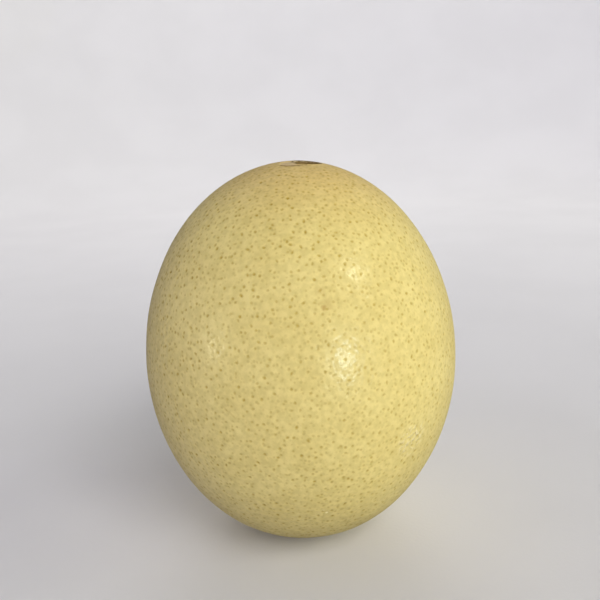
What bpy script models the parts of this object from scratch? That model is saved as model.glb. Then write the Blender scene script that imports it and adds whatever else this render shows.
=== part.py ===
"""A blown ostrich egg standing upright on a small flat spot.

One hollow shell: its outer and inner walls join through a blow hole near the top. The edge
of the hole is chipped, and a thin flake of the outer layer is gone beside it.
Metres, +Z up. The origin is the centre of the flat spot, and the hole lies towards +X.
"""

import math

import bmesh
import bpy
from mathutils import Matrix, Vector

# Driving dimensions
WIDTH = 0.125            # across the widest place
LENGTH = 0.1552          # between the ends, before the flat spot
END_TAPER = -0.013       # share by which the top end is narrower than an ellipse
END_FULLNESS = 0.009     # share by which both ends are fuller than an ellipse
WALL = 0.0019            # thickness of the shell
FLAT_RADIUS = 0.010      # of the spot that it rests on

HOLE_RADIUS = 0.0053
HOLE_OFFSET = (0.0056, -0.0007)    # from the long axis
HOLE_WAVES = ((2, 0.035, 0.6), (3, 0.025, 2.1), (5, 0.018, 4.0), (9, 0.012, 1.3))
CHIP_WIDTH = 0.0006      # average width of the broken edge round the hole
CHIP_DEPTH = 0.0007
CHIP_WAVES = ((1, 0.35, 2.4), (4, 0.40, 0.3), (7, 0.35, 5.1), (11, 0.20, 3.0))
HOLE_SIDES = 44

FLAKE_SIZE = (0.0044, 0.0036)      # half length along X and along Y
FLAKE_OFFSET = (-0.0006, -0.0040)
FLAKE_DEPTH = 0.0003
FLAKE_WAVES = ((3, 0.06, 0.8), (5, 0.05, 2.9), (8, 0.03, 5.0))
FLAKE_SIDES = 30

# Finish
SHELL_COLOUR = (0.74, 0.61, 0.29, 1.0)
SHELL_ROUGHNESS = 0.32
CREASE_ANGLE = math.radians(25)    # a sharper fold is shaded as an edge

# Fineness of the two walls: each step up has four times the triangles
OUTER_SUBDIVISIONS = 5
INNER_SUBDIVISIONS = 4

HALF_WIDTH = WIDTH / 2
HALF_LENGTH = LENGTH / 2
FLAT_DEPTH = HALF_LENGTH * (1 - math.sqrt(1 - (FLAT_RADIUS / HALF_WIDTH) ** 2))
CENTRE_HEIGHT = HALF_LENGTH - FLAT_DEPTH


def clear_scene():
    for obj in list(bpy.data.objects):
        bpy.data.objects.remove(obj)


def egg_point(direction, inset=0.0):
    """The point of the egg in a unit direction from its middle, an inset below the outside."""
    swell = 1 + END_TAPER * direction.z + END_FULLNESS * direction.z ** 2
    across = (HALF_WIDTH - inset) * swell
    height = CENTRE_HEIGHT + (HALF_LENGTH - inset) * direction.z
    return Vector((across * direction.x, across * direction.y, height))


def surface_frame(offset):
    """Matrix of a place on the outside near the top, with its Z along the shell's normal."""
    x, y = offset[0] / HALF_WIDTH, offset[1] / HALF_WIDTH
    direction = Vector((x, y, math.sqrt(1 - x * x - y * y)))
    normal = Vector((x / HALF_WIDTH, y / HALF_WIDTH, direction.z / HALF_LENGTH)).normalized()
    side = Vector((0, 1, 0)).cross(normal).normalized()
    axes = Matrix((side, normal.cross(side), normal)).transposed()
    return Matrix.Translation(egg_point(direction)) @ axes.to_4x4()


def fall_away(distance):
    """How far the shell near the top has curved down, this far from a point of contact."""
    return distance ** 2 * HALF_LENGTH / (2 * HALF_WIDTH ** 2)


def ripple(angle, waves):
    """Sum of sine waves round a circle, each with its count, height and phase."""
    return sum(height * math.sin(count * angle + phase) for count, height, phase in waves)


def angles(sides):
    return [2 * math.pi * side / sides for side in range(sides)]


def add_wall(mesh, subdivisions, inset=0.0):
    """Adds a ball whose points are moved out to the egg, and returns its points."""
    ball = bmesh.ops.create_icosphere(mesh, subdivisions=subdivisions, radius=1)
    for point in ball["verts"]:
        point.co = egg_point(point.co.normalized(), inset)
    return ball["verts"]


def add_outside(mesh):
    """The outer wall, cut off level at the ground and closed there with one flat face."""
    add_wall(mesh, OUTER_SUBDIVISIONS)
    everything = mesh.verts[:] + mesh.edges[:] + mesh.faces[:]
    cut = bmesh.ops.bisect_plane(
        mesh, geom=everything, plane_co=(0, 0, 0), plane_no=(0, 0, -1), clear_outer=True
    )
    rim = [item for item in cut["geom_cut"] if isinstance(item, bmesh.types.BMEdge)]
    bmesh.ops.holes_fill(mesh, edges=rim, sides=0)


def add_inside(mesh):
    """The cavity's wall, facing inwards; over the flat spot its floor keeps the wall's thickness."""
    points = add_wall(mesh, INNER_SUBDIVISIONS, WALL)
    for point in points:
        point.co.z = max(point.co.z, WALL)
    faces = {face for point in points for face in point.link_faces}
    bmesh.ops.reverse_faces(mesh, faces=list(faces))


def make_object(name, mesh):
    data = bpy.data.meshes.new(name)
    mesh.to_mesh(data)
    mesh.free()
    obj = bpy.data.objects.new(name, data)
    bpy.context.scene.collection.objects.link(obj)
    return obj


def make_cutter(name, rings, frame):
    """A closed body through rings of points, bottom ring first, with both ends capped."""
    mesh = bmesh.new()
    loops = [[mesh.verts.new(point) for point in ring] for ring in rings]
    for lower, upper in zip(loops, loops[1:]):
        for side in range(len(lower)):
            before = side - 1
            mesh.faces.new((lower[before], lower[side], upper[side], upper[before]))
    mesh.faces.new(reversed(loops[0]))
    mesh.faces.new(loops[-1])
    cutter = make_object(name, mesh)
    cutter.matrix_world = frame
    cutter.hide_render = True
    cutter.display_type = "WIRE"
    return cutter


def make_hole_cutter():
    """A slightly uneven bore that opens out in chips at the shell's surface."""
    surface = -fall_away(HOLE_RADIUS)

    def ring(height, chip_share):
        points = []
        for angle in angles(HOLE_SIDES):
            bore = HOLE_RADIUS * (1 + ripple(angle, HOLE_WAVES))
            radius = bore + chip_share * CHIP_WIDTH * (1 + ripple(angle, CHIP_WAVES))
            points.append((radius * math.cos(angle), radius * math.sin(angle), height))
        return points

    rings = [
        ring(surface - 3 * WALL, 0),
        ring(surface - CHIP_DEPTH, 0),
        ring(surface, 1),
        ring(surface + CHIP_DEPTH, 2),
        ring(surface + WALL, 2),
    ]
    return make_cutter("hole_cutter", rings, surface_frame(HOLE_OFFSET))


def make_flake_cutter():
    """A shallow scoop whose floor runs level with the shell, a flake's thickness below it."""

    def ring(share, rise):
        points = []
        for angle in angles(FLAKE_SIDES):
            reach = share * (1 + ripple(angle, FLAKE_WAVES))
            x = FLAKE_SIZE[0] * reach * math.cos(angle)
            y = FLAKE_SIZE[1] * reach * math.sin(angle)
            points.append((x, y, rise - fall_away(math.hypot(x, y))))
        return points

    rings = [
        ring(0.35, -FLAKE_DEPTH),
        ring(0.7, -FLAKE_DEPTH),
        ring(0.97, -FLAKE_DEPTH),
        ring(1.06, FLAKE_DEPTH),
        ring(1.06, WALL),
    ]
    return make_cutter("flake_cutter", rings, surface_frame(FLAKE_OFFSET))


def make_shell_material():
    material = bpy.data.materials.new("shell")
    material.use_nodes = True
    shader = material.node_tree.nodes["Principled BSDF"]
    shader.inputs["Base Color"].default_value = SHELL_COLOUR
    shader.inputs["Roughness"].default_value = SHELL_ROUGHNESS
    shader.inputs["Metallic"].default_value = 0
    return material


def make_eggshell():
    mesh = bmesh.new()
    add_outside(mesh)
    add_inside(mesh)
    shell = make_object("eggshell", mesh)
    shell.data.materials.append(make_shell_material())
    return shell


def cut(obj, cutter):
    modifier = obj.modifiers.new(cutter.name, "BOOLEAN")
    modifier.operation = "DIFFERENCE"
    modifier.solver = "EXACT"
    modifier.object = cutter


clear_scene()
eggshell = make_eggshell()
cut(eggshell, make_flake_cutter())
cut(eggshell, make_hole_cutter())
eggshell.data.shade_smooth()
eggshell.data.set_sharp_from_angle(angle=CREASE_ANGLE)
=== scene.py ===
"""A blown ostrich egg: polished and pitted shell, standing on a pale studio floor.

Metres, +Z up, in the part's own frame: the origin is the centre of the flat spot, the blow
hole lies towards +X beside the top, and the camera looks along +Y.
"""

import math
from collections import namedtuple

import bpy
import numpy as np
from mathutils import Matrix, Vector
from mathutils.geometry import delaunay_2d_cdt


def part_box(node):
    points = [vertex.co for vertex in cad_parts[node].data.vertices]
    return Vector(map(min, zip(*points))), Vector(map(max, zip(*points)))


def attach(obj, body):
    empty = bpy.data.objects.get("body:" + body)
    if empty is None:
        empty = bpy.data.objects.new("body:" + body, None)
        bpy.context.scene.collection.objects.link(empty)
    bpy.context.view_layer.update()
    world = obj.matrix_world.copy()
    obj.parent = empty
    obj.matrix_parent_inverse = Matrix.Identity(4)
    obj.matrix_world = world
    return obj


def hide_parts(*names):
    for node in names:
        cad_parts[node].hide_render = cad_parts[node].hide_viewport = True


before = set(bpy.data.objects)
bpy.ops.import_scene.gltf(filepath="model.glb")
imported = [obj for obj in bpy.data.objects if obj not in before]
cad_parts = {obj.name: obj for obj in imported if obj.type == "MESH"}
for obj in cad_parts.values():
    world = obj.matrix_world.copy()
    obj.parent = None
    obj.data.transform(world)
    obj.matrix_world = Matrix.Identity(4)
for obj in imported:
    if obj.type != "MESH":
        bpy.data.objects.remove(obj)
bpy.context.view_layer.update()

MM = 0.001
TURN = 2 * math.pi

# The egg, as in the part
LOW, HIGH = (np.array(corner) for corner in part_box("eggshell"))
END_TAPER = -0.013
END_FULLNESS = 0.009
WALL = 1.9 * MM
FLAT_RADIUS = 10 * MM
HALF_WIDTH = (HIGH[0] - LOW[0]) / 2
FLAT_COSINE = math.sqrt(1 - (FLAT_RADIUS / HALF_WIDTH) ** 2)
HALF_LENGTH = HIGH[2] / (1 + FLAT_COSINE)
AXES = np.array((HALF_WIDTH, HALF_WIDTH, HALF_LENGTH))
CENTRE = np.array((0, 0, HALF_LENGTH * FLAT_COSINE))

HOLE_RADIUS = 5.3 * MM
HOLE_OFFSET = (5.6 * MM, -0.7 * MM)
HOLE_WAVES = ((2, 0.035, 0.6), (3, 0.025, 2.1), (5, 0.018, 4.0), (9, 0.012, 1.3))
CHIP_WIDTH = 0.45 * MM
CHIP_DEPTH = 0.7 * MM
CHIP_WAVES = ((1, 0.35, 2.4), (4, 0.40, 0.3), (7, 0.35, 5.1), (11, 0.20, 3.0))
FLAKE_SIZE = (4.4 * MM, 3.6 * MM)
FLAKE_OFFSET = (-0.6 * MM, -4.0 * MM)
FLAKE_DEPTH = 0.3 * MM
FLAKE_WAVES = ((3, 0.06, 0.8), (5, 0.05, 2.9), (8, 0.03, 5.0))
FLAKE_EDGE = (0.94, 1.03)    # shares of its outline between which its floor rises
BARED_EDGE = (0.93, 1.04)    # shares between which its own colour ends

LUMPS_SEED = 5
LUMPS = ((55 * MM, 0.05 * MM, 6), (16 * MM, 0.010 * MM, 10))   # wavelength, height, waves
LUMPS_START = (0.5 * MM, 8 * MM)    # heights over the ground between which they set in

# Pores
SEED = 11
PORE_COUNT = 10800
PORE_JITTER = 0.33           # share of the spacing between pores
PORE_CROWDING = 0.09         # how far the pores draw together towards the top
PORE_TWINS = 0.07            # share of the pores that have another close beside them
TWIN_GAP = 1.35 * MM
PORE_STRENGTHS = (1.6, 3.2)  # shape of their spread: many faint pores, and few strong ones
PORE_OVERLAP = 0.9           # share of two pores' radii within which only the stronger stays
PORES_A_PASS = 1000
# From the faintest pore to the strongest
PORE_RADIUS = (0.56 * MM, 0.88 * MM)
PORE_DEPTH = (0.05 * MM, 0.26 * MM)
PORE_DARKNESS = (0.176, 1.298)
PORE_STRETCH = 0.4           # how much longer than wide a pore is at most
RING_REACH = (0.78, 1.2)     # how far in or out a point of a ring strays
WORN_SIDE = (0.25, -0.95, 0.18)     # direction in which handling has made the pores fainter
WORN_SPREAD = 0.35           # how gently that ends
WORN_SHARE = 0.3
DEEP_PORE = 0.36             # strength from which a pore has a floor as well as a rim
# Rings of a pore: (share of its radius, points, share of its depth, of its darkness, slope)
STRONG_RINGS = ((0.48, 5, 0.70, 0.68, 0.75), (1.0, 7, 0.0, 0.0, 0.28))
WEAK_RINGS = ((1.0, 6, 0.0, 0.0, 0.33),)
GOLDEN_ANGLE = math.pi * (3 - math.sqrt(5))
CLEAR_OF_EDGE = 0.9 * MM     # kept free of pores round the hole, the flake and the flat spot

# The camera, from the photograph's outline of the egg
PICTURE_PIXELS = 600
FOCAL_PIXELS = 722
EGG_PIXEL = (300.7, 351.1)   # where the egg's middle lies in the picture
CAMERA_DISTANCE = 0.300      # from the egg's middle
CAMERA_ELEVATION = math.radians(20)
CAMERA_ROLL = math.radians(2.46)

# Marks and glints, by the pixels of the photograph where they lie
# Smudges: x, y, radius and share
SMUDGE_PIXELS = ((319, 291, 2.4 * MM, 0.3), (328, 305, 3.0 * MM, 0.35), (324, 308, 1.3 * MM, 1.0))
HAIRLINE_PIXELS = ((220, 403), (238, 419))
SCUFF_PIXELS = ((402, 453), (420, 425))
SCUFF_RADIUS = 9 * MM
SCUFF_LENGTHWISE = 480       # lumps a metre along the scratches, and across them
SCUFF_CROSSWISE = 640
NICK_GLINT_PIXELS = ((326.4, 511.8, 0.8 * MM), (323.4, 510.2, 0.4 * MM))    # painted highlights on small nicks: x, y and radius
FRONT_GLINT_PIXEL = (345, 358)
RIGHT_GLINT_PIXEL = (354, 273)
LEFT_GLINT_PIXEL = (214, 346)

Place = namedtuple("Place", "origin side ahead normal")


# ---------------------------------------------------------------- the egg's surface

def unit(vectors):
    return vectors / np.linalg.norm(vectors, axis=-1, keepdims=True)


def egg_points(directions, inset=0.0):
    """Points of the egg in unit directions from its middle.

    Height is half the length times the direction's z; the two others are half the width times
    x and y, swollen by one plus taper times z plus fullness times z squared.
    """
    rise = directions[..., 2:]
    swell = 1 + END_TAPER * rise + END_FULLNESS * rise ** 2
    swell = np.concatenate((swell, swell, np.ones_like(swell)), axis=-1)
    return CENTRE + (AXES - inset) * swell * directions


def egg_normals(directions):
    return unit(directions / AXES)


def directions_to(points):
    """Unit directions whose egg points lie nearest to these points."""
    return unit((points - CENTRE) / AXES)


def surface_place(offset):
    """The place on the outside near the top at this offset from the long axis."""
    x, y = offset[0] / HALF_WIDTH, offset[1] / HALF_WIDTH
    direction = np.array((x, y, math.sqrt(1 - x * x - y * y)))
    normal = egg_normals(direction)
    side = unit(np.cross((0, 1, 0), normal))
    return Place(egg_points(direction), side, np.cross(normal, side), normal)


def across(place, x, y):
    """Unit directions of the surface at x and y from a place, across its tangent plane."""
    x, y = np.asarray(x)[..., None], np.asarray(y)[..., None]
    return directions_to(place.origin + x * place.side + y * place.ahead)


def seen_from(place, points):
    """x and y of points in a place's tangent plane."""
    away = points - place.origin
    return away @ place.side, away @ place.ahead


def ripple(angle, waves):
    return sum(height * np.sin(count * angle + phase) for count, height, phase in waves)


def between(limits, share):
    return limits[0] + (limits[1] - limits[0]) * share


def smooth_step(value, low, high):
    share = np.clip((value - low) / (high - low), 0, 1)
    return share * share * (3 - 2 * share)


def bell(value, middle, width):
    """One in the middle, falling to a third at the width on either side."""
    return np.exp(-((value - middle) / width) ** 2)


HOLE = surface_place(HOLE_OFFSET)
FLAKE = surface_place(FLAKE_OFFSET)


# ---------------------------------------------------------------- the camera and its sight lines

def make_camera():
    """Stands at the elevation, looks so that the egg's middle lands on its pixel, and rolls."""
    away = Vector((0, -math.cos(CAMERA_ELEVATION), math.sin(CAMERA_ELEVATION)))
    right = Vector((1, 0, 0))
    level = Matrix((right, right.cross(-away), -away))
    roll = Matrix.Rotation(CAMERA_ROLL, 3, "Z")
    middle = PICTURE_PIXELS / 2
    aim = Vector((EGG_PIXEL[0] - middle, middle - EGG_PIXEL[1], FOCAL_PIXELS)).normalized()
    tilt = Vector((0, 0, 1)).rotation_difference(aim).to_matrix()
    view = tilt @ roll @ level
    axes = Matrix((view[0], view[1], -view[2])).transposed()
    data = bpy.data.cameras.new("camera")
    data.sensor_fit = "HORIZONTAL"
    data.angle = 2 * math.atan(middle / FOCAL_PIXELS)
    data.clip_start = 0.01
    camera = bpy.data.objects.new("camera", data)
    bpy.context.scene.collection.objects.link(camera)
    place = Vector(CENTRE) + CAMERA_DISTANCE * away
    camera.matrix_world = Matrix.Translation(place) @ axes.to_4x4()
    bpy.context.scene.camera = camera
    return camera


def seen_at(camera, pixel):
    """The egg's point under a pixel, its normal there, and the direction of the sight line.

    Divided by the egg's axes, the egg is a unit ball, and the line meets it where a quadratic
    equation has its smaller root.
    """
    middle = PICTURE_PIXELS / 2
    seen = Vector((pixel[0] - middle, middle - pixel[1], -FOCAL_PIXELS)).normalized()
    pose = camera.matrix_world
    ray = np.array(pose.to_3x3() @ seen)
    start, step = (np.array(pose.translation) - CENTRE) / AXES, ray / AXES
    half, square = start @ step, step @ step
    reach = (-half - math.sqrt(half * half - square * (start @ start - 1))) / square
    direction = unit(start + reach * step)
    return egg_points(direction), egg_normals(direction), ray


def line_between(camera, pixels):
    """Where a straight mark between two pixels starts, its unit directions and its length."""
    first, normal, _ = seen_at(camera, pixels[0])
    last = seen_at(camera, pixels[1])[0]
    along = unit(last - first)
    return {"From": first, "Along": along, "Across": unit(np.cross(normal, along)),
            "Length": float(np.linalg.norm(last - first))}


# ---------------------------------------------------------------- pores

def golden_spiral(count):
    """Directions spread evenly over a ball: equal steps of height, each a golden angle on."""
    step = np.arange(count)
    height = 1 - 2 * (step + 0.5) / count
    around = step * GOLDEN_ANGLE
    reach = np.sqrt(1 - height ** 2)
    return np.stack((reach * np.cos(around), reach * np.sin(around), height), axis=-1)


def tangents(normals):
    """Two unit vectors across each normal."""
    pole = np.where(np.abs(normals[:, 2:]) < 0.9, (0.0, 0.0, 1.0), (1.0, 0.0, 0.0))
    first = unit(np.cross(pole, normals))
    return first, np.cross(normals, first)


def flake_share(points):
    """How far out in the flake's outline a point lies: 0 in its middle, 1 on its edge."""
    x, y = seen_from(FLAKE, points)
    u, v = x / FLAKE_SIZE[0], y / FLAKE_SIZE[1]
    share = np.hypot(u, v) / (1 + ripple(np.arctan2(v, u), FLAKE_WAVES))
    return np.where(points[..., 2] > CENTRE[2], share, np.inf)


def hole_distance(points):
    x, y = seen_from(HOLE, points)
    return np.where(points[..., 2] > CENTRE[2], np.hypot(x, y), np.inf)


def clear_of_edges(points):
    near_flat = np.abs(np.hypot(points[:, 0], points[:, 1]) - FLAT_RADIUS) < 1.5 * CLEAR_OF_EDGE
    near_flat &= points[:, 2] < CENTRE[2]
    near_flake = flake_share(points) < 1 + CLEAR_OF_EDGE / FLAKE_SIZE[1]
    near_hole = hole_distance(points) < HOLE_RADIUS + 2 * CHIP_WIDTH + CLEAR_OF_EDGE
    return ~(near_flat | near_flake | near_hole)


def clear_of_stronger(points, radius, strength):
    """Which pores overlap no stronger one; each pass compares some of them with all."""
    square = np.einsum("ij,ij->i", points, points)
    clear = np.ones(len(points), bool)
    for first in range(0, len(points), PORES_A_PASS):
        some = slice(first, first + PORES_A_PASS)
        gap = square[some, None] + square - 2 * points[some] @ points.T
        touch = gap < (PORE_OVERLAP * (radius[some, None] + radius)) ** 2
        clear[some] = ~(touch & (strength > strength[some, None])).any(axis=1)
    return clear


def scatter_pores(rng):
    """Directions of the pores' middles, and each one's strength and radius."""
    spread = golden_spiral(PORE_COUNT) + (0, 0, PORE_CROWDING)
    spacing = math.sqrt(2 * TURN / PORE_COUNT)
    middles = unit(spread + rng.normal(0, PORE_JITTER * spacing, spread.shape))
    strength = rng.beta(*PORE_STRENGTHS, PORE_COUNT)
    twins = rng.random(PORE_COUNT) < PORE_TWINS
    step = unit(rng.normal(size=(twins.sum(), 3))) * TWIN_GAP / HALF_WIDTH
    middles = np.concatenate((middles, unit(middles[twins] + step)))
    strength = np.concatenate((strength, strength[twins] * rng.uniform(0.5, 1, twins.sum())))
    radius = between(PORE_RADIUS, strength)
    points = egg_points(middles)
    keep = clear_of_edges(points) & clear_of_stronger(points, radius, strength)
    return middles[keep], strength[keep], radius[keep]


def pore_ring(rng, middles, size, share, sides):
    """A ring round each pore: an ellipse turned at random, slightly uneven.

    Returns the directions of its points, and the unit vectors that point away from the pore.
    """
    count = len(middles)
    points, normals = egg_points(middles), egg_normals(middles)
    first, second = tangents(normals)
    angle = np.arange(sides) * TURN / sides + rng.uniform(0, TURN, (count, 1))
    reach = share * size["radius"][:, None] * rng.uniform(*RING_REACH, (count, sides))
    stretch = size["stretch"][:, None]
    long = (reach * stretch * np.cos(angle))[..., None]
    short = (reach / np.sqrt(stretch) * np.sin(angle))[..., None]
    turn = size["turn"][:, None]
    axis = np.cos(turn) * first + np.sin(turn) * second
    beside = np.cos(turn) * second - np.sin(turn) * first
    away = (long * axis[:, None] + short * beside[:, None]).reshape(-1, 3)
    return directions_to(np.repeat(points, sides, axis=0) + away), unit(away)


def pores(rng):
    """Directions, depths, darkness and lean of all the pores' points.

    A pore is a dimple: its middle lies deepest, a floor ring lies part of the way up in the
    stronger ones, and its rim ring lies level with the shell. The lean is what the dimple's
    slope adds to the shell's own normal, and it is gentle at the rim.
    """
    middles, strength, radius = scatter_pores(rng)
    count = len(middles)
    worn = np.exp((middles @ WORN_SIDE - 1) / WORN_SPREAD)
    size = {
        "radius": radius,
        "stretch": 1 + PORE_STRETCH * rng.random(count) ** 2,
        "turn": rng.uniform(0, TURN, count),
        "depth": between(PORE_DEPTH, strength),
        "dark": between(PORE_DARKNESS, strength) * (1 - WORN_SHARE * worn),
    }
    groups = [(middles, size["depth"], size["dark"], np.zeros((count, 3)))]
    strong = strength > DEEP_PORE
    for chosen, rings in ((strong, STRONG_RINGS), (~strong, WEAK_RINGS)):
        some = {key: value[chosen] for key, value in size.items()}
        for share, sides, sunk, dark, slope in rings:
            directions, away = pore_ring(rng, middles[chosen], some, share, sides)
            steepness = slope * np.repeat(some["depth"] / some["radius"], sides)
            groups.append((
                directions,
                sunk * np.repeat(some["depth"], sides),
                dark * np.repeat(some["dark"], sides),
                -steepness[:, None] * away,
            ))
    return tuple(np.concatenate(column) for column in zip(*groups))


# ---------------------------------------------------------------- the mouth and the cavity

MOUTH_SIDES = 96
JAG = 0.05 * MM              # roughness of the broken edge
CLEAR_OF_CHIPS = HOLE_RADIUS + 2.2 * CHIP_WIDTH    # from the hole's middle
GUARD_RADIUS = HOLE_RADIUS + 3.2 * CHIP_WIDTH      # of a ring of points that spaces the mesh out
# Rings of points: (share of the flake's or the flat spot's outline, points)
FLAKE_LOOPS = (
    (0.3, 12), (0.62, 26), (0.84, 44), (0.93, 60), (1.0, 66), (1.07, 70), (1.2, 60), (1.38, 50),
    (1.6, 36))
FLAT_LOOPS = ((0.5, 30), (1.0, 96), (1.05, 96))
CAVITY_ROWS = 30
CAVITY_CROWDING = 1.4        # draws the rows together near the hole

# Dirt and painted shade, from 0 to 1
STAIN_DIRT = 0.45            # on the outside round the hole
STAIN_REACH = 2.4 * MM
LINE_DARKNESS = 0.8              # a dark line before the flake
LINE_SHIFT = 0.8 * MM        # how far it lies to the right of the flake
LINE_PLACE, LINE_SPREAD = 1.33, 0.3    # shares of the flake's outline
BORE_SHADE = (0.35, 1.85)     # painted shade down the bore, drawn as dirt: at its top, and as deep as the wall is thick
BORE_SHADE_SWING = 0.1        # more of the painted shade on the side towards +X
CAVITY_DIRT = 0.3


def mouth_rows(rng):
    """Rings down the blow hole: (distance from its axis, depth below the outside, in metres).

    The first lies on the outside round the broken edge, the last on the cavity's wall.
    """
    angle = np.arange(MOUTH_SIDES) * TURN / MOUTH_SIDES
    jag = rng.normal(0, JAG, (6, MOUTH_SIDES))
    bore = HOLE_RADIUS * (1 + ripple(angle, HOLE_WAVES))
    chip = CHIP_WIDTH * np.maximum(1 + ripple(angle, CHIP_WAVES), 0.25)
    return angle, (
        (bore + chip + jag[0], 0.0),
        (bore + 0.6 * chip + jag[1], 0.30 * CHIP_DEPTH + jag[2]),
        (bore + 0.2 * chip + jag[3], 0.85 * CHIP_DEPTH + jag[4]),
        (bore + 0.5 * jag[5], 1.5 * CHIP_DEPTH),
        (bore - 0.5 * jag[0], WALL - 0.15 * MM),
        (bore + 0.15 * MM, WALL),
    )


def flake_depth(points):
    """How deep the flake has come away, rising to nothing over its edge."""
    return FLAKE_DEPTH * (1 - smooth_step(flake_share(points), *FLAKE_EDGE))


def skin_stain_and_line(points):
    """Darkening on the outside: a stain round the hole, and a dark line along the flake's front edge.
    """
    stain = 1 - smooth_step(hole_distance(points), HOLE_RADIUS, HOLE_RADIUS + STAIN_REACH)
    x, y = seen_from(FLAKE, points)
    u, v = (x - LINE_SHIFT) / FLAKE_SIZE[0], y / FLAKE_SIZE[1]
    line = bell(np.hypot(u, v), LINE_PLACE, LINE_SPREAD) * smooth_step(-v, 0.3, 1.0)
    line = np.where(points[..., 2] > CENTRE[2], line, 0)
    return np.maximum(STAIN_DIRT * stain, LINE_DARKNESS * line)


def ring_on_surface(place, angle, reach_x, reach_y):
    return across(place, reach_x * np.cos(angle), reach_y * np.sin(angle))


def flake_loops():
    """Rings of directions inside, at and outside the flake's edge."""
    loops = []
    for share, sides in FLAKE_LOOPS:
        angle = np.arange(sides) * TURN / sides
        reach = share * (1 + ripple(angle, FLAKE_WAVES))
        loops.append(ring_on_surface(FLAKE, angle, reach * FLAKE_SIZE[0], reach * FLAKE_SIZE[1]))
    return np.concatenate(loops)


def flat_spot_loops():
    """Rings of directions on the flat spot's edge and just outside it."""
    loops = []
    for share, sides in FLAT_LOOPS:
        reach = share * FLAT_RADIUS / HALF_WIDTH
        angle = np.arange(sides) * TURN / sides
        flat = np.full(sides, -math.sqrt(1 - reach ** 2))
        loops.append(np.stack((reach * np.cos(angle), reach * np.sin(angle), flat), axis=-1))
    return np.concatenate(loops)


def chart(directions, pole):
    """Stereographic map from the pole: the far side of the ball lies in the map's middle."""
    first, second = (axis[0] for axis in tangents(pole[None]))
    scale = 1 - directions @ pole
    return np.stack((directions @ first / scale, directions @ second / scale), axis=-1)


def join_points(directions, rim_count, pole):
    """Triangles between directions all over the ball, inside the loop of the first rim_count."""
    flat = [Vector(point) for point in chart(directions, pole).tolist()]
    result = delaunay_2d_cdt(flat, [], [list(range(rim_count))], 1, 1e-9, True)
    first_of = np.array([origin[0] for origin in result[3]])
    return first_of[np.array(result[2])]


def cavity_grid(rim):
    """The cavity's wall from its rim down to its pole: rings that open out about the hole."""
    pole = directions_to(HOLE.origin)
    first, second = (axis[0] for axis in tangents(pole[None]))
    start = unit((rim - CENTRE) / (AXES - WALL))
    lean = np.arccos(np.clip(start @ pole, -1, 1))
    around = np.arctan2(start @ second, start @ first)
    share = (np.arange(1, CAVITY_ROWS) / CAVITY_ROWS)[:, None] ** CAVITY_CROWDING
    lean = lean + (math.pi - lean) * share
    around = np.broadcast_to(around, lean.shape)
    sideways = np.cos(around)[..., None] * first + np.sin(around)[..., None] * second
    grid = np.cos(lean)[..., None] * pole + np.sin(lean)[..., None] * sideways
    bottom = egg_points(-pole[None], WALL)
    points = np.concatenate((egg_points(grid, WALL).reshape(-1, 3), bottom))
    points[:, 2] = np.maximum(points[:, 2], WALL)
    return points


def strip(near, far):
    """Two triangles a cell between two rings of as many points."""
    near_next, far_next = np.roll(near, -1, axis=-1), np.roll(far, -1, axis=-1)
    corners = (near, near_next, far_next, near, far_next, far)
    return np.stack(corners, axis=-1).reshape(-1, 3)


def band_faces(first, bands, sides):
    """Triangles between rings of points that follow each other, from the first point on."""
    rings = first + np.arange((bands + 1) * sides).reshape(bands + 1, sides)
    return strip(rings[:-1], rings[1:])


def fan(ring, tip):
    """Triangles from a ring to one point."""
    return np.stack((ring, np.roll(ring, -1), np.full(len(ring), tip)), axis=-1)


def outward(points, faces):
    """The same triangles, all turned over if together they enclose less than nothing."""
    corners = points[faces]
    volume = np.einsum("ij,ij->", corners[:, 0], np.cross(corners[:, 1], corners[:, 2]))
    return faces if volume > 0 else faces[:, ::-1]


def follows(faces, first, second):
    """Whether some triangle runs from the first of these points straight to the second."""
    steps = np.concatenate((faces[:, [0, 1]], faces[:, [1, 2]], faces[:, [2, 0]]))
    return bool((steps == (first, second)).all(axis=1).any())


def lumps(directions):
    """Slow unevenness of the shell in metres: plane waves through the ball of directions."""
    rng = np.random.default_rng(LUMPS_SEED)
    height = 0
    for wavelength, size, count in LUMPS:
        for wave in unit(rng.normal(size=(count, 3))) * TURN * HALF_WIDTH / wavelength:
            height = height + size * np.sin(directions @ wave + rng.uniform(0, TURN))
    return height


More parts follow.
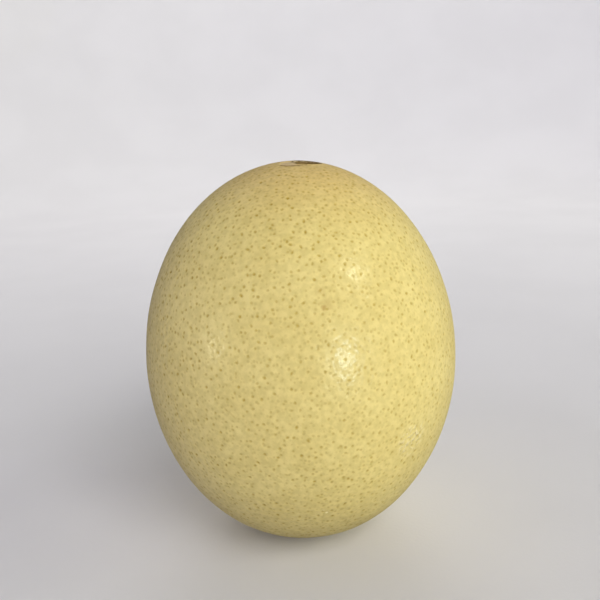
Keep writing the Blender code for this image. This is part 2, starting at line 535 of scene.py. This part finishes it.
def shell_points(rng):
    """The shell's points with and without its dimples, its triangles by finish, and marks."""
    angle, rows = mouth_rows(rng)
    edge = ring_on_surface(HOLE, angle, rows[0][0], rows[0][0])
    extra = np.concatenate((flake_loops(), flat_spot_loops()))
    extra = extra[hole_distance(egg_points(extra)) > CLEAR_OF_CHIPS]
    beyond = ring_on_surface(HOLE, angle[::2], GUARD_RADIUS, GUARD_RADIUS)
    pitted, pit_depth, pit_dark, pit_lean = pores(rng)
    outside = np.concatenate((edge, beyond, extra, pitted))
    skin = join_points(outside, MOUTH_SIDES, directions_to(HOLE.origin))

    base = egg_points(outside)
    normals = egg_normals(outside)
    uneven = lumps(outside) * smooth_step(base[:, 2], *LUMPS_START)
    base += uneven[:, None] * normals
    base[:, 2] = np.maximum(base[:, 2], 0)
    dirt_and_shade = skin_stain_and_line(base)
    base -= flake_depth(base)[:, None] * normals
    skin = outward(base, skin)

    rings, bore_shades = [], []
    for reach, below in rows[1:]:
        ring = ring_on_surface(HOLE, angle, reach, reach)
        under = egg_points(ring)
        sunk = below + flake_depth(under) * max(0, 1 - np.mean(below) / WALL)
        rings.append(under - np.broadcast_to(sunk, angle.shape)[:, None] * egg_normals(ring))
        # Painted shade down the bore: darker with depth, and towards +X
        bore_shade = between(BORE_SHADE, below / WALL) + BORE_SHADE_SWING * np.cos(angle)
        bore_shades.append(np.clip(bore_shade, 0, 1))
    cavity = cavity_grid(rings[-1])
    base = np.concatenate((base, *rings, cavity))

    first = len(outside)
    rim = np.arange(MOUTH_SIDES)
    broken = np.concatenate((
        strip(rim, first + rim), band_faces(first, len(rings) - 1, MOUTH_SIDES)))
    first += (len(rings) - 1) * MOUTH_SIDES
    last = first + (CAVITY_ROWS - 1) * MOUTH_SIDES + rim
    wall = np.concatenate((
        band_faces(first, CAVITY_ROWS - 1, MOUTH_SIDES), fan(last, len(base) - 1)))
    if follows(skin, 0, 1):
        broken, wall = broken[:, ::-1], wall[:, ::-1]

    pitted_rows = slice(len(outside) - len(pitted), len(outside))
    depth, dark, lean = np.zeros(len(base)), np.zeros(len(base)), np.zeros((len(base), 3))
    depth[pitted_rows], dark[pitted_rows], lean[pitted_rows] = pit_depth, pit_dark, pit_lean
    dented = base.copy()
    dented[:len(outside)] -= depth[:len(outside), None] * normals
    marks = {
        "pore": dark,
        "flake": 1 - smooth_step(flake_share(base), *BARED_EDGE),
        "dirt_and_shade": np.concatenate((dirt_and_shade, *bore_shades, np.full(len(cavity), CAVITY_DIRT))),
    }
    return base, dented, (skin, broken, wall), marks, lean, pitted_rows


CREASE_ANGLE = math.radians(45)    # a sharper fold is shaded as an edge


def add_attribute(mesh, name, values):
    attribute = mesh.attributes.new(name, "FLOAT", "POINT")
    attribute.data.foreach_set("value", values.astype(np.float32))


def read_normals(mesh):
    normals = np.empty(len(mesh.vertices) * 3, np.float32)
    mesh.vertex_normals.foreach_get("vector", normals)
    return normals.reshape(-1, 3)


def make_shell(materials):
    """The shell, shaded as if smooth between its pores: only a dimple's own slope bends light."""
    base, dented, parts, marks, lean, pitted = shell_points(np.random.default_rng(SEED))
    mesh = bpy.data.meshes.new("pitted_shell")
    mesh.from_pydata(base.tolist(), [], np.concatenate(parts).tolist())
    smooth = np.zeros(base.shape)
    smooth[pitted] = unit(read_normals(mesh)[pitted] + lean[pitted])
    mesh.vertices.foreach_set("co", dented.ravel())
    mesh.polygons.foreach_set("material_index", np.repeat((0, 1, 2), [len(part) for part in parts]))
    for material in materials:
        mesh.materials.append(material)
    for name, values in marks.items():
        add_attribute(mesh, name, values)
    mesh.update()
    mesh.shade_smooth()
    mesh.set_sharp_from_angle(angle=CREASE_ANGLE)
    mesh.normals_split_custom_set_from_vertices(smooth.tolist())
    shell = bpy.data.objects.new("pitted_shell", mesh)
    bpy.context.scene.collection.objects.link(shell)
    return shell


# ---------------------------------------------------------------- shader nodes

GRAIN_DETAIL = 1.5           # of the noise that makes fine relief


def node(tree, kind, inputs=(), **settings):
    """Adds a node, sets its properties, and sets or links its inputs by name or number."""
    made = tree.nodes.new("ShaderNode" + kind)
    made.location = (200 * len(tree.nodes), 0)
    for key, value in settings.items():
        setattr(made, key, value)
    for key, value in dict(inputs).items():
        if isinstance(value, bpy.types.NodeSocket):
            tree.links.new(value, made.inputs[key])
        else:
            made.inputs[key].default_value = value
    return made


def work_out(tree, operation, *values, clamp=False):
    """The number that a Math node makes of two or three numbers or sockets."""
    return node(tree, "Math", enumerate(values), operation=operation, use_clamp=clamp).outputs[0]


def vectors(tree, operation, result, *values):
    """What a Vector Math node makes of vectors: its result named Vector or Value."""
    return node(tree, "VectorMath", enumerate(values), operation=operation).outputs[result]


def fade(tree, value, start, end):
    """A smooth share: 0 where the value is at the start, 1 where it is at the end."""
    return node(tree, "MapRange", {"Value": value, "From Min": start, "From Max": end},
                interpolation_type="SMOOTHSTEP").outputs[0]


def colour_over(tree, share, under, over, blend="MIX"):
    """A colour laid over another by a share."""
    return node(tree, "Mix", {"Factor": share, "A": under, "B": over},
                data_type="RGBA", blend_type=blend).outputs["Result"]


def noise(tree, vector, size, detail):
    """Noise from 0 to 1 whose lumps are this many metres across."""
    scale = work_out(tree, "DIVIDE", 1, size)
    return node(tree, "TexNoise", {"Vector": vector, "Scale": scale, "Detail": detail}).outputs[0]


def new_group(name, inputs, outputs):
    """An empty node group, with its named inputs and outputs."""
    group = bpy.data.node_groups.new(name, "ShaderNodeTree")
    for title, kind in inputs.items():
        group.interface.new_socket(title, in_out="INPUT", socket_type="NodeSocket" + kind)
    for title, kind in outputs.items():
        group.interface.new_socket(title, in_out="OUTPUT", socket_type="NodeSocket" + kind)
    given = group.nodes.new("NodeGroupInput").outputs
    result = group.nodes.new("NodeGroupOutput").inputs
    return group, given, result


def use(tree, group, inputs):
    """Places a node group in a tree with its own values, and returns its first output."""
    return node(tree, "Group", inputs, node_tree=group).outputs[0]


def make_mottling():
    """Soft patches of two colours, with patches a third as wide within them."""
    group, given, result = new_group("mottling", {
        "Vector": "Vector", "Patch Size": "Float", "First Colour": "Color",
        "Second Colour": "Color"}, {"Color": "Color"})
    share = fade(group, noise(group, given["Vector"], given["Patch Size"], 2.5), 0.32, 0.68)
    mixed = colour_over(group, share, given["First Colour"], given["Second Colour"])
    group.links.new(mixed, result["Color"])
    return group


def make_grain():
    """Fine unevenness about zero, up to half its height either way."""
    group, given, result = new_group("grain", {
        "Vector": "Vector", "Grain Size": "Float", "Height": "Float"}, {"Height": "Float"})
    bumps = noise(group, given["Vector"], given["Grain Size"], GRAIN_DETAIL)
    centred = work_out(group, "SUBTRACT", bumps, 0.5)
    group.links.new(work_out(group, "MULTIPLY", centred, given["Height"]), result["Height"])
    return group


def make_grime_and_shade():
    """Dirt and painted shade that cling in grains: noise eats into them, and more so where the amount
    is small.
    """
    group, given, result = new_group("grime_and_shade", {
        "Vector": "Vector", "Grain Size": "Float", "Amount": "Float"}, {"Mask": "Float"})
    thick = work_out(group, "ADD", given["Amount"],
                     noise(group, given["Vector"], given["Grain Size"], 3))
    group.links.new(fade(group, thick, 0.78, 1.25), result["Mask"])
    return group


def make_speckles():
    """Round spots in scattered cells, each of its own strength."""
    group, given, result = new_group("speckles", {
        "Vector": "Vector", "Cell Size": "Float", "Spot Size": "Float"}, {"Mask": "Float"})
    scale = work_out(group, "DIVIDE", 1, given["Cell Size"])
    cells = node(group, "TexVoronoi", {"Vector": given["Vector"], "Scale": scale})
    reach = work_out(group, "DIVIDE", given["Spot Size"], given["Cell Size"])
    spot = fade(group, cells.outputs["Distance"], reach, work_out(group, "MULTIPLY", reach, 0.2))
    weight = node(group, "SeparateColor", {"Color": cells.outputs["Color"]}).outputs[0]
    group.links.new(work_out(group, "MULTIPLY", spot, weight), result["Mask"])
    return group


def make_spot_mark():
    """A soft round mark with a ragged edge."""
    group, given, result = new_group("spot_mark", {
        "Vector": "Vector", "Middle": "Vector", "Radius": "Float"}, {"Mask": "Float"})
    distance = vectors(group, "DISTANCE", "Value", given["Vector"], given["Middle"])
    ragged = noise(group, given["Vector"], work_out(group, "MULTIPLY", given["Radius"], 0.5), 3)
    share = work_out(group, "DIVIDE", distance, given["Radius"])
    share = work_out(group, "ADD", share, work_out(group, "SUBTRACT", ragged, 0.5))
    group.links.new(fade(group, share, 1.0, 0.2), result["Mask"])
    return group


def make_line_mark():
    """A thin straight mark: full on its line, and gone at half its width and at its ends."""
    group, given, result = new_group("line_mark", {
        "Vector": "Vector", "From": "Vector", "Along": "Vector", "Across": "Vector",
        "Length": "Float", "Width": "Float"}, {"Mask": "Float"})
    away = vectors(group, "SUBTRACT", "Vector", given["Vector"], given["From"])
    along = work_out(group, "DIVIDE", vectors(group, "DOT_PRODUCT", "Value", away, given["Along"]),
                     given["Length"])
    from_middle = work_out(group, "ABSOLUTE", work_out(group, "SUBTRACT", along, 0.5))
    wander = noise(group, given["Vector"], work_out(group, "MULTIPLY", given["Width"], 8), 1)
    wander = work_out(group, "MULTIPLY", work_out(group, "SUBTRACT", wander, 0.5), 3)
    beside = work_out(group, "DIVIDE", vectors(group, "DOT_PRODUCT", "Value", away, given["Across"]),
                      given["Width"])
    beside = work_out(group, "ABSOLUTE", work_out(group, "ADD", beside, wander))
    far = vectors(group, "LENGTH", "Value", away)
    mask = work_out(group, "MULTIPLY", fade(group, from_middle, 0.5, 0.35),
                    fade(group, beside, 0.5, 0.1))
    limit = work_out(group, "MULTIPLY", given["Length"], 1.5)
    near = work_out(group, "LESS_THAN", far, limit)
    group.links.new(work_out(group, "MULTIPLY", mask, near), result["Mask"])
    return group


def make_scuff_and_sheen():
    """Scratched lumps in a round patch, with relief and painted sheen: noise drawn out, only its
    peaks.
    """
    group, given, result = new_group("scuff_and_sheen", {
        "Vector": "Vector", "Middle": "Vector", "Along": "Vector", "Across": "Vector",
        "Radius": "Float"}, {"Mask": "Float"})
    away = vectors(group, "SUBTRACT", "Vector", given["Vector"], given["Middle"])
    lengthwise = work_out(group, "MULTIPLY", SCUFF_LENGTHWISE,
                          vectors(group, "DOT_PRODUCT", "Value", away, given["Along"]))
    crosswise = work_out(group, "MULTIPLY", SCUFF_CROSSWISE,
                         vectors(group, "DOT_PRODUCT", "Value", away, given["Across"]))
    drawn = node(group, "CombineXYZ", {"X": lengthwise, "Y": crosswise}).outputs[0]
    streaks = fade(group, noise(group, drawn, 1.0, 1), 0.47, 0.66)
    distance = vectors(group, "LENGTH", "Value", away)
    patch = fade(group, distance, given["Radius"], work_out(group, "MULTIPLY", given["Radius"], 0.3))
    group.links.new(work_out(group, "MULTIPLY", streaks, patch), result["Mask"])
    return group


# ---------------------------------------------------------------- materials

SHELL_COLOURS = (0.790, 0.651, 0.235, 1), (0.819, 0.684, 0.256, 1)
FINE_SHADES = (0.915, 0.909, 0.865, 1), (1.03, 1.03, 1.03, 1)
PORE_COLOUR = (0.440, 0.288, 0.020, 1)
FRECKLE_COLOUR = (0.520, 0.400, 0.100, 1)
FLAKE_COLOURS = (0.66, 0.50, 0.245, 1), (0.72, 0.56, 0.285, 1)
# Dirt, and the painted shade down the bore
DIRT_AND_SHADE_COLOUR = (0.215, 0.140, 0.042, 1)
TOP_SHADE_TINT = (0.96, 0.864, 0.845, 1)      # painted shade: a warm darkening over the top of the shell, round the hole
TOP_SHADE_REACH = (12 * MM, 52 * MM)         # distances from the hole where it is full and gone
SMUDGE_COLOUR = (0.56, 0.40, 0.12, 1)
STAIN_AND_LINE_COLOUR = (0.34, 0.225, 0.085, 1)
# The scuff's pale lumps: a painted sheen
SCUFF_SHEEN_COLOUR = (0.93, 0.81, 0.42, 1)
EDGE_SHADE_TINT = (0.83, 0.83, 0.88, 1)      # painted shade: darkens the shell where it turns away from the eye
# A painted highlight, pale as a glint, on a small chipped nick
NICK_GLINT_COLOUR = (1, 0.90, 0.48, 1)
CHIP_COLOURS = (0.70, 0.58, 0.36, 1), (0.58, 0.46, 0.26, 1)
MEMBRANE_COLOURS = (0.60, 0.48, 0.29, 1), (0.47, 0.35, 0.19, 1)
FLOOR_COLOURS = (0.66, 0.655, 0.645, 1), (0.64, 0.635, 0.625, 1)

# Shares by which a mark's colour covers the one under it
FRECKLE_SHARE = 0.6
HAIRLINE_SHARE = 0.18
# the scuff's painted sheen
SCUFF_SHEEN_SHARE = 0.85
STAIN_AND_LINE_SHARE = 0.85
MEMBRANE_STAIN_SHARE = 0.5
MEMBRANE_DIRT_SHARE = 0.6

# Sizes of patches of colour, of spots and the cells that they lie in, and of grains of dirt
SHELL_PATCH = 14 * MM
FINE_PATCH = 2.2 * MM
FLAKE_PATCH = 1.2 * MM
CHIP_PATCH = 0.9 * MM
MEMBRANE_PATCH = 8 * MM
FLOOR_PATCH = 120 * MM
FRECKLE_CELL, FRECKLE_SIZE = 1.9 * MM, 0.85 * MM
STAIN_CELL, STAIN_SIZE = 9 * MM, 4 * MM
SHELL_DIRT_GRAIN = 0.8 * MM
CHIP_DIRT_AND_SHADE_GRAIN = 0.5 * MM
MEMBRANE_DIRT_GRAIN = 3 * MM
HAIRLINE_WIDTH = 1.0 * MM

# Relief: size of its lumps, and height in millimetres
SHELL_RELIEF = ((2.4 * MM, 0.20), (0.9 * MM, 0.045))
COAT_RELIEF = ((2.4 * MM, 0.15), (1.1 * MM, 0.02), (0.9 * MM, 0.02))
CHIP_RELIEF = ((0.5 * MM, 0.12),)
MEMBRANE_RELIEF = ((2.2 * MM, 0.35),)
FLOOR_RELIEF = ((1.5 * MM, 0.05),)
# Heights of single marks in millimetres
FRECKLE_HEIGHT = -0.03
SCUFF_HEIGHT = 0.3
PORE_COAT_HEIGHT = -0.1

# The polished shell's shine
ROUGHNESS = (0.25, 0.37)
ROUGHNESS_PATCH = 9 * MM
DULL_ROUGHNESS = 0.4         # more in pores, in dirt and where the flake is gone
PORE_DULLNESS = 0.7
COAT_WEIGHT = 0.2
COAT_ROUGHNESS = 0.17
SPECULAR_LEVEL = 0.25
# Facing runs from 0, square to the sight line, to 1 along it
EDGE_SHADE_FACING = (0.45, 0.95)       # where the painted edge shade sets in and is full
GRAZING_FACING = (0.4, 0.8)      # where the shine turns soft
GRAZING_ROUGHNESS = 0.3          # what that adds to the roughness
GRAZING_COAT_ROUGHNESS = 0.5
# Roughness where these are clean and where their dirt and painted shade are full
CHIP_ROUGHNESS = (0.65, 0.85)
MEMBRANE_ROUGHNESS = (0.60, 0.85)
FLOOR_ROUGHNESS = 0.8


def new_material(name):
    """A material, its tree, its shader, and the Object coordinates that its patterns read."""
    material = bpy.data.materials.new(name)
    material.use_nodes = True
    tree = material.node_tree
    return material, tree, tree.nodes["Principled BSDF"], node(tree, "TexCoord").outputs["Object"]


def read_mark(tree, name):
    return node(tree, "Attribute", attribute_name=name).outputs["Fac"]


def blend(tree, limits, share):
    """A number that goes from one limit to the other by a share."""
    return work_out(tree, "MULTIPLY_ADD", share, limits[1] - limits[0], limits[0])


def mottled(tree, groups, place, size, colours):
    """A colour that wanders between two, in patches of this size."""
    return use(tree, groups["mottling"], {
        "Vector": place, "Patch Size": size, "First Colour": colours[0], "Second Colour": colours[1]})


def dirt_and_shade_mask(tree, groups, place, grain):
    """Where dirt and painted shade cling, in grains, by the mesh's own marks of both."""
    return use(tree, groups["grime_and_shade"], {
        "Vector": place, "Grain Size": grain, "Amount": read_mark(tree, "dirt_and_shade")})


def spot_mask(tree, groups, camera, place, pixel, radius):
    """A round mark on the shell where the pixel shows it."""
    return use(tree, groups["spot_mark"], {
        "Vector": place, "Middle": seen_at(camera, pixel)[0], "Radius": radius})


def lay_mark(tree, mask, share, under, over):
    """A mark's colour laid over another, where its mask is and as strongly as its share."""
    return colour_over(tree, work_out(tree, "MULTIPLY", mask, share), under, over)


def grains(tree, groups, place, relief):
    """The heights of a relief, one for each size of its lumps."""
    return [use(tree, groups["grain"], {"Vector": place, "Grain Size": size, "Height": height})
            for size, height in relief]


def raise_surface(tree, shader, *heights, layer="Normal"):
    """Bends the light by the sum of heights in millimetres."""
    total = heights[0]
    for height in heights[1:]:
        total = work_out(tree, "ADD", total, height)
    bump = node(tree, "Bump", {"Height": total, "Distance": MM})
    tree.links.new(bump.outputs[0], shader.inputs[layer])


def lay_marks(tree, groups, camera, place, colour):
    """Lays the smudges, the hairline and the scuff with its painted sheen: the colour, and the
    scuff's mask.
    """
    for x, y, radius, strength in SMUDGE_PIXELS:
        smudge = spot_mask(tree, groups, camera, place, (x, y), radius)
        colour = lay_mark(tree, smudge, strength, colour, SMUDGE_COLOUR)
    hairline = use(tree, groups["line_mark"], {
        "Vector": place, "Width": HAIRLINE_WIDTH, **line_between(camera, HAIRLINE_PIXELS)})
    colour = lay_mark(tree, hairline, HAIRLINE_SHARE, colour, PORE_COLOUR)
    # The scuff: real relief, with its pale lumps a painted sheen
    line = line_between(camera, SCUFF_PIXELS)
    scuff_and_sheen = use(tree, groups["scuff_and_sheen"], {
        "Vector": place, "Middle": line["From"] + line["Along"] * line["Length"] / 2,
        "Along": line["Along"], "Across": line["Across"], "Radius": SCUFF_RADIUS})
    return lay_mark(tree, scuff_and_sheen, SCUFF_SHEEN_SHARE, colour, SCUFF_SHEEN_COLOUR), scuff_and_sheen


def set_shine(tree, shader, place, facing, dull):
    """A satin shell under a thin gloss: less of both where it is dull, softer at the edge."""
    rough = blend(tree, ROUGHNESS, noise(tree, place, ROUGHNESS_PATCH, 3))
    rough = work_out(tree, "MULTIPLY_ADD", dull, DULL_ROUGHNESS, rough)
    grazing = fade(tree, facing, *GRAZING_FACING)
    tree.links.new(work_out(tree, "MULTIPLY_ADD", grazing, GRAZING_ROUGHNESS, rough),
                   shader.inputs["Roughness"])
    tree.links.new(work_out(tree, "MULTIPLY_ADD", dull, -COAT_WEIGHT, COAT_WEIGHT, clamp=True),
                   shader.inputs["Coat Weight"])
    tree.links.new(work_out(tree, "MULTIPLY_ADD", grazing, GRAZING_COAT_ROUGHNESS, COAT_ROUGHNESS),
                   shader.inputs["Coat Roughness"])
    shader.inputs["Specular IOR Level"].default_value = SPECULAR_LEVEL


def make_polished_shell(groups, camera):
    """Waxy yellow shell: mottled, freckled, dark in its pores, with the egg's few marks, painted
    shade and highlights.
    """
    material, tree, shader, place = new_material("polished_shell")
    colour = mottled(tree, groups, place, SHELL_PATCH, SHELL_COLOURS)
    shades = mottled(tree, groups, place, FINE_PATCH, FINE_SHADES)
    colour = colour_over(tree, 1.0, colour, shades, "MULTIPLY")
    freckles = use(tree, groups["speckles"], {
        "Vector": place, "Cell Size": FRECKLE_CELL, "Spot Size": FRECKLE_SIZE})
    colour = lay_mark(tree, freckles, FRECKLE_SHARE, colour, FRECKLE_COLOUR)
    # Painted shade over the top: warmer and darker round the hole
    from_hole = vectors(tree, "DISTANCE", "Value", place, HOLE.origin)
    top_shade = fade(tree, from_hole, TOP_SHADE_REACH[1], TOP_SHADE_REACH[0])
    colour = colour_over(tree, top_shade, colour, TOP_SHADE_TINT, "MULTIPLY")
    colour, scuff_and_sheen = lay_marks(tree, groups, camera, place, colour)

    pore = read_mark(tree, "pore")
    colour = colour_over(tree, pore, colour, PORE_COLOUR)
    # Painted highlights where small nicks catch the light
    for x, y, radius in NICK_GLINT_PIXELS:
        nick_glint = spot_mask(tree, groups, camera, place, (x, y), radius)
        colour = colour_over(tree, nick_glint, colour, NICK_GLINT_COLOUR)
    flake = read_mark(tree, "flake")
    bared = mottled(tree, groups, place, FLAKE_PATCH, FLAKE_COLOURS)
    colour = colour_over(tree, flake, colour, bared)
    # The stain round the hole, and the dark line before the flake
    dirt_and_shade = dirt_and_shade_mask(tree, groups, place, SHELL_DIRT_GRAIN)
    colour = lay_mark(tree, dirt_and_shade, STAIN_AND_LINE_SHARE, colour, STAIN_AND_LINE_COLOUR)
    # Painted shade along the shell's edge, where it turns away from the eye
    facing = node(tree, "LayerWeight").outputs["Facing"]
    colour = colour_over(tree, fade(tree, facing, *EDGE_SHADE_FACING), colour, EDGE_SHADE_TINT, "MULTIPLY")
    tree.links.new(colour, shader.inputs["Base Color"])

    dull = work_out(tree, "MAXIMUM", work_out(tree, "MAXIMUM", flake, dirt_and_shade),
                    work_out(tree, "MULTIPLY", pore, PORE_DULLNESS))
    set_shine(tree, shader, place, facing, dull)
    raise_surface(
        tree, shader, *grains(tree, groups, place, SHELL_RELIEF),
        work_out(tree, "MULTIPLY", freckles, FRECKLE_HEIGHT),
        work_out(tree, "MULTIPLY", scuff_and_sheen, SCUFF_HEIGHT))
    # The gloss over the shell has a relief of its own
    gloss = [work_out(tree, "MULTIPLY", noise(tree, place, size, GRAIN_DETAIL), height)
             for size, height in COAT_RELIEF]
    raise_surface(tree, shader, *gloss, work_out(tree, "MULTIPLY", pore, PORE_COAT_HEIGHT),
                  layer="Coat Normal")
    return material


def make_broken_shell(groups):
    """Chalky fracture: cream where it is fresh, brown down the bore with painted shade drawn as dirt.
    """
    material, tree, shader, place = new_material("broken_shell")
    colour = mottled(tree, groups, place, CHIP_PATCH, CHIP_COLOURS)
    dirt_and_shade = dirt_and_shade_mask(tree, groups, place, CHIP_DIRT_AND_SHADE_GRAIN)
    tree.links.new(colour_over(tree, dirt_and_shade, colour, DIRT_AND_SHADE_COLOUR), shader.inputs["Base Color"])
    tree.links.new(blend(tree, CHIP_ROUGHNESS, dirt_and_shade), shader.inputs["Roughness"])
    raise_surface(tree, shader, *grains(tree, groups, place, CHIP_RELIEF))
    return material


def make_cavity_wall(groups):
    """Dry membrane on the inside of the shell: tan, wrinkled and stained in spots."""
    material, tree, shader, place = new_material("cavity_wall")
    colour = mottled(tree, groups, place, MEMBRANE_PATCH, MEMBRANE_COLOURS)
    stains = use(tree, groups["speckles"], {
        "Vector": place, "Cell Size": STAIN_CELL, "Spot Size": STAIN_SIZE})
    colour = lay_mark(tree, stains, MEMBRANE_STAIN_SHARE, colour, DIRT_AND_SHADE_COLOUR)
    dirt_and_shade = dirt_and_shade_mask(tree, groups, place, MEMBRANE_DIRT_GRAIN)
    colour = lay_mark(tree, dirt_and_shade, MEMBRANE_DIRT_SHARE, colour, DIRT_AND_SHADE_COLOUR)
    tree.links.new(colour, shader.inputs["Base Color"])
    tree.links.new(blend(tree, MEMBRANE_ROUGHNESS, dirt_and_shade), shader.inputs["Roughness"])
    raise_surface(tree, shader, *grains(tree, groups, place, MEMBRANE_RELIEF))
    return material


def make_pale_floor(groups):
    """Matt and nearly even in colour."""
    material, tree, shader, place = new_material("pale_floor")
    colour = mottled(tree, groups, place, FLOOR_PATCH, FLOOR_COLOURS)
    tree.links.new(colour, shader.inputs["Base Color"])
    shader.inputs["Roughness"].default_value = FLOOR_ROUGHNESS
    shader.inputs["Specular IOR Level"].default_value = 0
    raise_surface(tree, shader, *grains(tree, groups, place, FLOOR_RELIEF))
    return material


# ---------------------------------------------------------------- studio

WHITE = (1.0, 0.977, 0.985)
# Broad lights: name, direction from the egg's middle, width in metres, watts, colour
SOFT_LIGHTS = (
    ("key", (0.38, -0.70, 0.60), 1.5, 42.3, WHITE),
    ("left_fill", (-0.95, -0.2, 0.0), 1.1, 9.5, (0.25, 0.20, 1.0)),
    ("right_fill", (0.97, -0.1, 0.25), 1.1, 19.5, (0.95, 1.0, 0.82)),
    ("back_light", (0.0, 0.90, 0.43), 1.5, 21.6, WHITE),
)
# Lamps that the shell mirrors: name, pixel of the glint, width in metres, watts, colour
GLINT_LAMPS = (
    ("lamp_front", FRONT_GLINT_PIXEL, 0.15, 1.75, (0.8, 1.0, 0.95)),
    ("lamp_right", RIGHT_GLINT_PIXEL, 0.10, 1.2, (0.95, 1.0, 0.75)),
    ("lamp_left", LEFT_GLINT_PIXEL, 0.04, 0.62, (1.0, 0.93, 0.65)),
)
BACKDROP_LIGHT_PLACE = np.array((0, 0.3, 1.3))
BACKDROP_LIGHT_TARGET = np.array((0, 1.3, 1.1))
BACKDROP_LIGHT_WIDTH = 1.2
BACKDROP_LIGHT_WATTS = 9
WORLD_COLOUR = (0.35, 0.42, 1.0, 1)
WORLD_STRENGTH = 0.1

FLOOR_RADIUS = 0.9
FLOOR_BEND = 0.5             # radius of the curve from the floor up into the wall
WALL_HEIGHT = 0.9
FLOOR_SIDES = 96
LAMP_DISTANCE = 0.8
SOFT_LIGHT_DISTANCE = 2.5    # beyond the wall, which lets the light through


def make_floor(material):
    """A round studio floor that curves up into a wall: a profile turned about the egg's axis.

    It doesn't show in the shell's sheen, whose edge stays as dark as in the photograph, and it
    lets the lights through from behind.
    """
    turn = np.linspace(0, math.pi / 2, 16)
    reach = np.concatenate(((0.2,), FLOOR_RADIUS + FLOOR_BEND * np.sin(turn),
                            (FLOOR_RADIUS + FLOOR_BEND,)))
    height = np.concatenate(((0.0,), FLOOR_BEND * (1 - np.cos(turn)), (FLOOR_BEND + WALL_HEIGHT,)))
    angle = np.arange(FLOOR_SIDES) * TURN / FLOOR_SIDES
    rings = np.stack((
        np.outer(reach, np.cos(angle)), np.outer(reach, np.sin(angle)),
        np.repeat(height[:, None], FLOOR_SIDES, axis=1)), axis=-1).reshape(-1, 3)
    points = np.concatenate((rings, np.zeros((1, 3))))
    middle = fan(np.arange(FLOOR_SIDES), len(rings))
    faces = np.concatenate((middle, band_faces(0, len(reach) - 1, FLOOR_SIDES)[:, ::-1]))
    mesh = bpy.data.meshes.new("studio_floor")
    mesh.from_pydata(points.tolist(), [], faces.tolist())
    mesh.shade_smooth()
    mesh.materials.append(material)
    floor = bpy.data.objects.new("studio_floor", mesh)
    bpy.context.scene.collection.objects.link(floor)
    floor.visible_glossy = False
    floor.visible_shadow = False


def make_light(name, place, target, size, watts, colour):
    """A square light at a place, facing the target."""
    data = bpy.data.lights.new(name, "AREA")
    data.size = size
    data.energy = watts
    data.color = colour
    light = bpy.data.objects.new(name, data)
    bpy.context.scene.collection.objects.link(light)
    light.location = Vector(place)
    light.rotation_euler = Vector(place - target).to_track_quat("Z", "Y").to_euler()
    return light


def make_soft_light(name, towards, size, watts, colour):
    """A broad light in a direction from the egg's middle, too soft to show as a reflection."""
    place = CENTRE + SOFT_LIGHT_DISTANCE * unit(np.array(towards))
    light = make_light(name, place, CENTRE, size, watts, colour)
    light.visible_glossy = False


def make_glint(camera, name, pixel, size, watts, colour):
    """A small lamp where its reflection in the shell is seen at a pixel: the sight line mirrored."""
    point, normal, ray = seen_at(camera, pixel)
    mirrored = ray - 2 * (ray @ normal) * normal
    lamp = make_light(name, point + LAMP_DISTANCE * mirrored, point, size, watts, colour)
    lamp.visible_diffuse = False


def make_lights(camera):
    for light in SOFT_LIGHTS:
        make_soft_light(*light)
    make_light("backdrop_light", BACKDROP_LIGHT_PLACE, BACKDROP_LIGHT_TARGET,
               BACKDROP_LIGHT_WIDTH, BACKDROP_LIGHT_WATTS, WHITE)
    for lamp in GLINT_LAMPS:
        make_glint(camera, *lamp)
    world = bpy.data.worlds.new("studio")
    world.use_nodes = True
    background = world.node_tree.nodes["Background"]
    background.inputs["Color"].default_value = WORLD_COLOUR
    background.inputs["Strength"].default_value = WORLD_STRENGTH
    bpy.context.scene.world = world
    bpy.context.scene.view_settings.view_transform = "Standard"


camera = make_camera()
make_lights(camera)
groups = {
    "mottling": make_mottling(), "grain": make_grain(), "grime_and_shade": make_grime_and_shade(),
    "speckles": make_speckles(), "spot_mark": make_spot_mark(), "line_mark": make_line_mark(),
    "scuff_and_sheen": make_scuff_and_sheen(),
}
make_floor(make_pale_floor(groups))
shell = make_shell((
    make_polished_shell(groups, camera), make_broken_shell(groups), make_cavity_wall(groups)))
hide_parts("eggshell")
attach(shell, "root")
